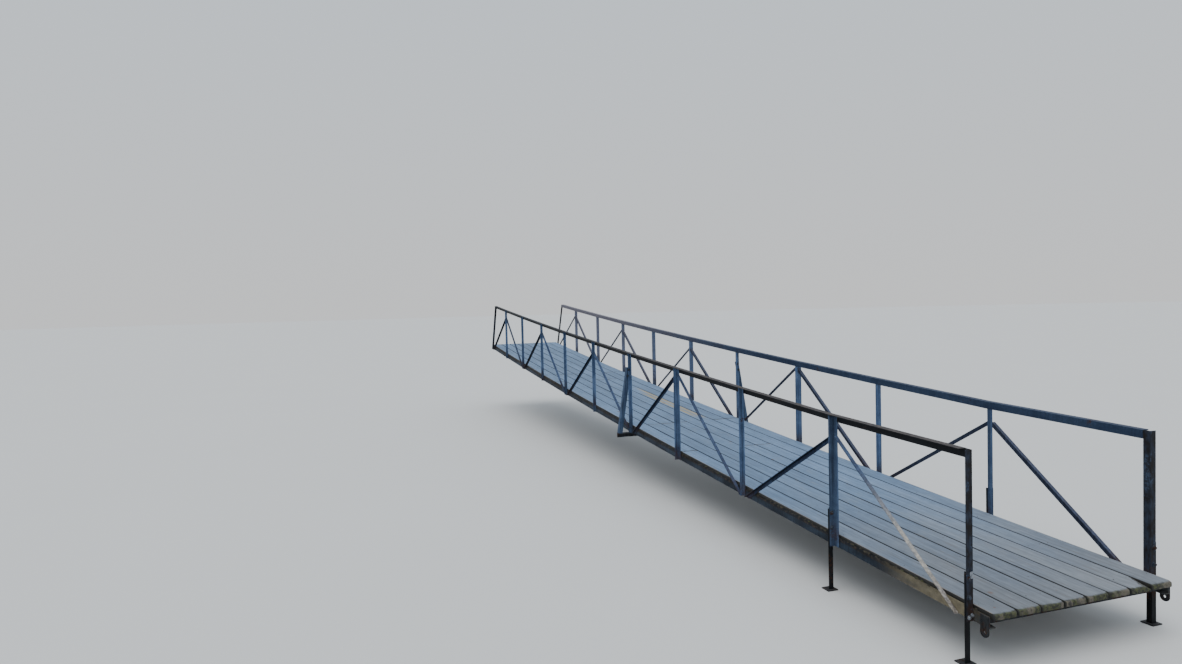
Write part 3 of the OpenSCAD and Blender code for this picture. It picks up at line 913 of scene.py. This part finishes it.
class GANGWAY_OT_left_posts(bpy.types.Operator):
    """Make the left posts again, some with a wider outer leg, and some turned to have it downhill"""

    bl_idname = "gangway.left_posts"
    bl_label = "Left posts"

    def execute(self, context):
        steel = context.scene.gangway_steel
        bm = merged(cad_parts["left_posts"].data)
        for number, island in enumerate(islands(bm)):
            low, high = corners([vert.co for vert in island])
            for vert in island:
                if number in WIDENED and vert.co.y > OUTER_LEG:
                    vert.co.y = OUTER_FACE + steel.left_leg
                if number in TURNED:
                    turned = low.x + high.x - vert.co.x
                    vert.co.z += DECK(turned) - DECK(vert.co.x)
                    vert.co.x = turned
        bmesh.ops.recalc_face_normals(bm, faces=bm.faces)
        piece = finished(bm, TURNED_POSTS, steel_finish("left_post_steel", steel))
        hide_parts("left_posts")
        round_edges(piece, steel)
        return {"FINISHED"}


def bar_ends(points):
    """Places along the walkway of a bar's two edges, first at its foot and then at its head"""
    low, high = corners(points)
    height = 0.015
    foot = [p.x for p in points if p.z < low.z + height]
    head = [p.x for p in points if p.z > high.z - height]
    return (min(foot), max(foot)), (min(head), max(head))


# Heights between which a weld runs, over the chord's lower edge and over the rail's top
ON_CHORD = (0.004, 0.071)
ON_RAIL = (-0.057, -0.010)


class Welder:
    """Lays weld beads of one size into a mesh"""

    def __init__(self, radius, seed):
        self.bm = bmesh.new()
        self.radius = radius
        self.rng = random.Random(seed)

    def line(self, start, end, share=1.0):
        """Row of overlapping flattened drops, as a pass of weld leaves"""
        start, end = Vector(start), Vector(end)
        radius = self.radius * share
        count = max(2, round((end - start).length / (radius * 1.25)))
        turn = turned_to(end - start)
        for k in range(count):
            size = radius * self.rng.uniform(0.82, 1.12)
            matrix = placed(start.lerp(end, (k + 0.5) / count), (size, size, size * 0.95), turn)
            bmesh.ops.create_icosphere(self.bm, subdivisions=1, radius=1, matrix=matrix)

    def edge(self, x, y, z, lean, start, end):
        """Pass along a leaning edge that goes through a point, between two heights over it"""
        self.line((x + lean * start, y, z + start), (x + lean * end, y, z + end))


class GANGWAY_OT_railing_welds(bpy.types.Operator):
    """Weld the posts and braces to the chords and rails, and the beams and lugs to the chords"""

    bl_idname = "gangway.railing_welds"
    bl_label = "Railing welds"

    def execute(self, context):
        steel = context.scene.gangway_steel
        material = steel_finish("weld_steel", steel)
        for name, side in SIDES.items():
            welder = Welder(steel.weld_size, 11 + side)
            y = side * (OUTER_FACE + 0.0015)
            posts = solids(TURNED_POSTS if name == "left" else "right_posts")
            for points in posts:
                self.post(welder, points, y, side, points is posts[-1])
            for points in solids(f"{name}_braces"):
                self.brace(welder, points, y, side)
            for low, high in BEAMS + [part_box("dock_end_beam")]:
                inner = side * (high.y - 0.0015)
                welder.line((low.x, inner, low.z + 0.004), (low.x, inner, high.z - 0.008))
            low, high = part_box(f"{name}_dock_lug")
            for x in (low.x, high.x):
                welder.line((x, y, CHORD_LOW(x) + 0.004), (x, y, CHORD_TOP(x) - 0.004))
            low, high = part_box(f"{name}_outrigger_strut")
            out = side * (max(abs(low.y), abs(high.y)) - 0.002)
            welder.line((low.x + 0.003, out, low.z + 0.002), (high.x - 0.003, out, low.z + 0.002))
            finished(welder.bm, f"{name}_railing_welds", material)
        return {"FINISHED"}

    def post(self, welder, points, y, side, is_last):
        """Welds up both edges on the chord and on the rail, and along the outer leg's head"""
        low, high = corners(points)
        foot, head = bar_ends(points)
        for foot_x, head_x in zip(foot, head):
            lean = (head_x - foot_x) / (high.z - low.z)
            welder.edge(foot_x, y, CHORD_LOW(foot_x), lean, *ON_CHORD)
            if not is_last:
                welder.edge(head_x, y, RAIL(head_x), lean, *ON_RAIL)
        if is_last:
            welder.edge(low.x, y, RAIL(low.x), 0, ON_RAIL[0], -0.003)
        else:
            outer = [p for p in points if abs(p.y) > OUTER_LEG]
            leg_x = head[0] if min(p.x for p in outer) < low.x + 0.001 else head[1]
            reach = side * (max(abs(p.y) for p in outer) - 0.004)
            top = RAIL(leg_x) - 0.0075
            welder.line((leg_x, y, top), (leg_x, reach, top), 0.8)

    def brace(self, welder, points, y, side):
        """Welds up both edges on the chord, and down the head on its post"""
        low, high = corners(points)
        foot, head = bar_ends(points)
        downhill = head[0] > foot[0]
        apex_x = high.x if downhill else low.x
        ends = [p.z for p in points if abs(p.x - apex_x) < 0.003]
        upper_x = foot[0] if downhill else foot[1]
        lean = (apex_x - upper_x) / (max(ends) - low.z)
        out = y + side * 0.004
        welder.line((apex_x, out, min(ends)), (apex_x, out, max(ends)))
        for foot_x in foot:
            welder.edge(foot_x, y, CHORD_LOW(foot_x), lean, 0.005, 0.069)


def add_bolt(bm, at, direction, width):
    """Hexagon head on a washer, its axis along a direction"""
    turn = Matrix.Translation(at) @ turned_to(direction)
    washer = width * 0.12
    add_cone(bm, 16, width * 0.92, width * 0.88, washer, turn @ Matrix.Translation((0, 0, washer / 2)))
    height = width * 0.62
    radius = width / math.sqrt(3)
    head = add_cone(bm, 6, radius, radius, height, turn @ Matrix.Translation((0, 0, washer + height / 2)))
    round_off(bm, list({e for v in head["verts"] for e in v.link_edges}), width * 0.05, 1)


def add_bolt_pair(bm, upper_x, lower_x, y, z, width):
    """Bolt head on one side of two plates and nut on the other"""
    add_bolt(bm, (lower_x, y, z), (1, 0, 0), width)
    add_bolt(bm, (upper_x, y, z), (-1, 0, 0), width)


class GANGWAY_OT_bolts(bpy.types.Operator):
    """Bolt the support legs and outrigger struts to their posts, and clip a plate to the last right post"""

    bl_idname = "gangway.bolts"
    bl_label = "Bolts"

    def execute(self, context):
        steel = context.scene.gangway_steel
        material = steel_finish("painted_bolts", steel)
        for name, side in SIDES.items():
            bm = bmesh.new()
            for low, high in boxes(f"{name}_legs"):
                y = side * (OUTER_FACE + 0.033)
                for drop in (0.035, 0.15):
                    add_bolt_pair(bm, high.x - 0.005, high.x + 0.005, y, high.z - drop, steel.bolt_size)
            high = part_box(f"{name}_outrigger_strut")[1]
            for drop in (0.03, 0.11):
                y = side * (OUTER_FACE + 0.021 + drop * 0.2)
                add_bolt_pair(bm, high.x - 0.006, high.x + 0.005, y, high.z - drop, steel.bolt_size)
            finished(bm, f"{name}_bolts", material)
        self.clip(steel)
        return {"FINISHED"}

    def clip(self, steel):
        """Small bright plate with one bolt, downhill on the last right post, over two pairs of bolts"""
        x = boxes("right_posts")[-1][1].x
        y, z = -OUTER_FACE - 0.014, DECK(x) + 0.187
        thickness = 0.003
        bm = bmesh.new()
        plate = placed((x + thickness / 2, y, z), (thickness, 0.022, 0.042))
        bmesh.ops.create_cube(bm, size=1, matrix=plate)
        round_off(bm, bm.edges[:], 0.0009, 2)
        bend = max(bm.faces, key=lambda f: f.calc_center_median().z)
        made = bmesh.ops.extrude_face_region(bm, geom=[bend])
        moved = [v for v in made["geom"] if isinstance(v, bmesh.types.BMVert)]
        bmesh.ops.translate(bm, verts=moved, vec=(0.009, 0, 0.008))
        add_bolt(bm, (x + thickness, y, z - 0.004), (1, 0, 0), steel.bolt_size * 0.7)
        for reach, rise in ((0.008, 0.036), (0.033, 0.024)):
            z = CHORD_LOW(x) + rise
            add_bolt_pair(bm, x - 0.005, x, -OUTER_FACE - reach, z, steel.bolt_size * 0.8)
        finished(bm, "right_post_clip", zinc("bright_clip"))


class GANGWAY_OT_splinters(bpy.types.Operator):
    """Leave splinters along the break at the end of the broken plank"""

    bl_idname = "gangway.splinters"
    bl_label = "Splinters"

    def execute(self, context):
        deck = context.scene.gangway_deck
        rng = random.Random(23)
        bm, marks, uv = with_marks()
        chips = [chip_in(solids(f"deck_board_{number}")[-1]) for number in range(1, BOARDS + 1)]
        for tip, normal in filter(None, chips):
            run = Vector((0, 0, 1)).cross(normal).normalized()
            run = run if run.x < 0 else -run
            for k in range(deck.splinters):
                back = tip + run * (0.024 + 0.14 * k / deck.splinters + rng.uniform(0, 0.012))
                length = rng.uniform(0.014, 0.034)
                width = rng.uniform(0.0012, 0.0026)
                lean = Vector((1, rng.uniform(-0.12, 0.12), rng.uniform(0.0, 0.14) - math.tan(MEAN_FALL)))
                down = Vector((0, rng.uniform(0.0, 0.006), -rng.uniform(0.002, 0.007)))
                matrix = placed(back + down, (1, 0.45, 1), turned_to(lean))
                add_cone(bm, 5, width, width * 0.12, length, matrix)
        for vert in bm.verts:
            vert[marks["broken"]] = 1.0
        lay_grain(bm, uv, 0)
        finished(bm, "splinters", painted_wood("splintered_wood", deck, 2.0))
        return {"FINISHED"}


class GANGWAY_OT_edge_dirt(bpy.types.Operator):
    """Pack dirt and moss between the outer planks and the chords, more of it towards the lower end"""

    bl_idname = "gangway.edge_dirt"
    bl_label = "Edge dirt"

    def execute(self, context):
        material = wet_dirt("wet_dirt", tuple(context.scene.gangway_deck.moss))
        edge = DECK_HALF + 0.0025
        start, stop, lumps = 1.0, LOWER_X - 0.12, 190
        for name, side in SIDES.items():
            rng = random.Random(5 + side)
            bm = bmesh.new()
            for _ in range(lumps):
                share = math.sqrt(rng.random())
                x = start + (stop - start) * share
                size = rng.uniform(0.003, 0.0075) * (0.6 + 0.6 * share)
                y = side * (edge + rng.uniform(-0.001, 0.004))
                z = CHORD_TOP(x) + rng.uniform(-0.004, 0.003)
                matrix = placed((x, y, z), (size * rng.uniform(1.2, 4.0), size * 0.8, size))
                made = bmesh.ops.create_icosphere(bm, subdivisions=2, radius=1, matrix=matrix)
                for vert in made["verts"]:
                    vert.co.z += size * 0.5 * noise.noise(vert.co * 260)
            finished(bm, f"{name}_edge_dirt", material)
        return {"FINISHED"}


class GANGWAY_OT_stage(bpy.types.Operator):
    """Set up the floor, the lights and the camera"""

    bl_idname = "gangway.stage"
    bl_label = "Stage"

    def execute(self, context):
        stage = context.scene.gangway_stage
        centre = (CAD_BOX[0] + CAD_BOX[1]) / 2
        under = Matrix.Translation((centre.x, centre.y, CAD_BOX[0].z - 0.0004))
        bm = bmesh.new()
        bmesh.ops.create_circle(bm, cap_ends=True, segments=96, radius=220.0, matrix=under)
        material = studio_floor("studio_floor", tuple(stage.floor_tone))
        new_object(bm, "studio_floor", material)
        self.surround(context, stage)
        self.lamps(context, stage)
        self.camera(context, stage)
        return {"FINISHED"}

    def surround(self, context, stage):
        """Pale light from all round, a little bluer overhead than at the horizon"""
        world = bpy.data.worlds.new("studio")
        world.use_nodes = True
        n = Nodes(world.node_tree)
        height = n.ramp(n.part(n.new("TexCoord").outputs["Generated"], 2), 0.0, 0.5, kind="LINEAR")
        background = n.tree.nodes["Background"]
        n.put(background.inputs["Color"], n.mix(height, (0.87, 0.885, 0.90), (0.80, 0.90, 1.0)))
        n.put(background.inputs["Strength"], stage.sky)
        context.scene.world = world

    def lamps(self, context, stage):
        """Two wide, even lights, each from the direction given"""
        lamps = {
            "overhead": ((0.25, -0.3, 1.0), stage.key, 60, (1.0, 0.98, 0.95)),
            "dock_side": ((1.0, -0.5, 0.45), stage.fill, 70, (0.92, 0.96, 1.0)),
        }
        for name, (direction, strength, spread, colour) in lamps.items():
            lamp = bpy.data.lights.new(name, "SUN")
            lamp.angle = math.radians(spread)
            lamp.energy = strength
            lamp.color = colour
            holder = bpy.data.objects.new(name, lamp)
            holder.location = Vector(direction) * 10
            holder.rotation_mode = "QUATERNION"
            holder.rotation_quaternion = Vector(direction).to_track_quat("Z", "Y")
            context.scene.collection.objects.link(holder)

    def camera(self, context, stage):
        """Camera, its right, up and backward axes worked out from heading, dip and tilt"""
        east, north = math.sin(stage.heading), math.cos(stage.heading)
        reach = math.cos(stage.dip)
        forward = Vector((east * reach, north * reach, -math.sin(stage.dip)))
        level = Vector((north, -east, 0))
        upright = level.cross(forward)
        right = level * math.cos(stage.tilt) + upright * math.sin(stage.tilt)
        up = upright * math.cos(stage.tilt) - level * math.sin(stage.tilt)
        lens = bpy.data.cameras.new("view_from_the_dock")
        lens.sensor_width = 36.0
        lens.lens = stage.lens
        lens.clip_start = 0.05
        lens.clip_end = 300.0
        lens.dof.use_dof = False
        camera = bpy.data.objects.new("view_from_the_dock", lens)
        turn = Matrix((right, up, -forward)).transposed().to_4x4()
        camera.matrix_world = Matrix.Translation(stage.eye) @ turn
        context.scene.collection.objects.link(camera)
        context.scene.camera = camera


STEPS = (
    GANGWAY_OT_planks,
    GANGWAY_OT_plank_screws,
    GANGWAY_OT_steelwork,
    GANGWAY_OT_left_posts,
    GANGWAY_OT_railing_welds,
    GANGWAY_OT_bolts,
    GANGWAY_OT_splinters,
    GANGWAY_OT_edge_dirt,
    GANGWAY_OT_stage,
)


class GANGWAY_PT_build(bpy.types.Panel):
    """Steps that dress the gangway, in the order in which they run"""

    bl_idname = "GANGWAY_PT_build"
    bl_label = "Gangway"
    bl_space_type = "VIEW_3D"
    bl_region_type = "UI"
    bl_category = "Gangway"

    def draw(self, context):
        for step in STEPS:
            self.layout.operator(step.bl_idname)
        for group in SETTINGS:
            box = self.layout.box()
            for name in SETTINGS[group].__annotations__:
                box.prop(getattr(context.scene, group), name)


SETTINGS = {
    "gangway_deck": DeckSettings,
    "gangway_steel": SteelSettings,
    "gangway_stage": StageSettings,
}
CLASSES = (*SETTINGS.values(), *STEPS, GANGWAY_PT_build)


def register():
    for cls in CLASSES:
        bpy.utils.register_class(cls)
    for group, settings in SETTINGS.items():
        setattr(bpy.types.Scene, group, PointerProperty(type=settings))


def unregister():
    for group in SETTINGS:
        delattr(bpy.types.Scene, group)
    for cls in reversed(CLASSES):
        bpy.utils.unregister_class(cls)


def main():
    register()
    for step in STEPS:
        group, name = step.bl_idname.split(".")
        getattr(getattr(bpy.ops, group), name)()


if __name__ == "__main__":
    main()
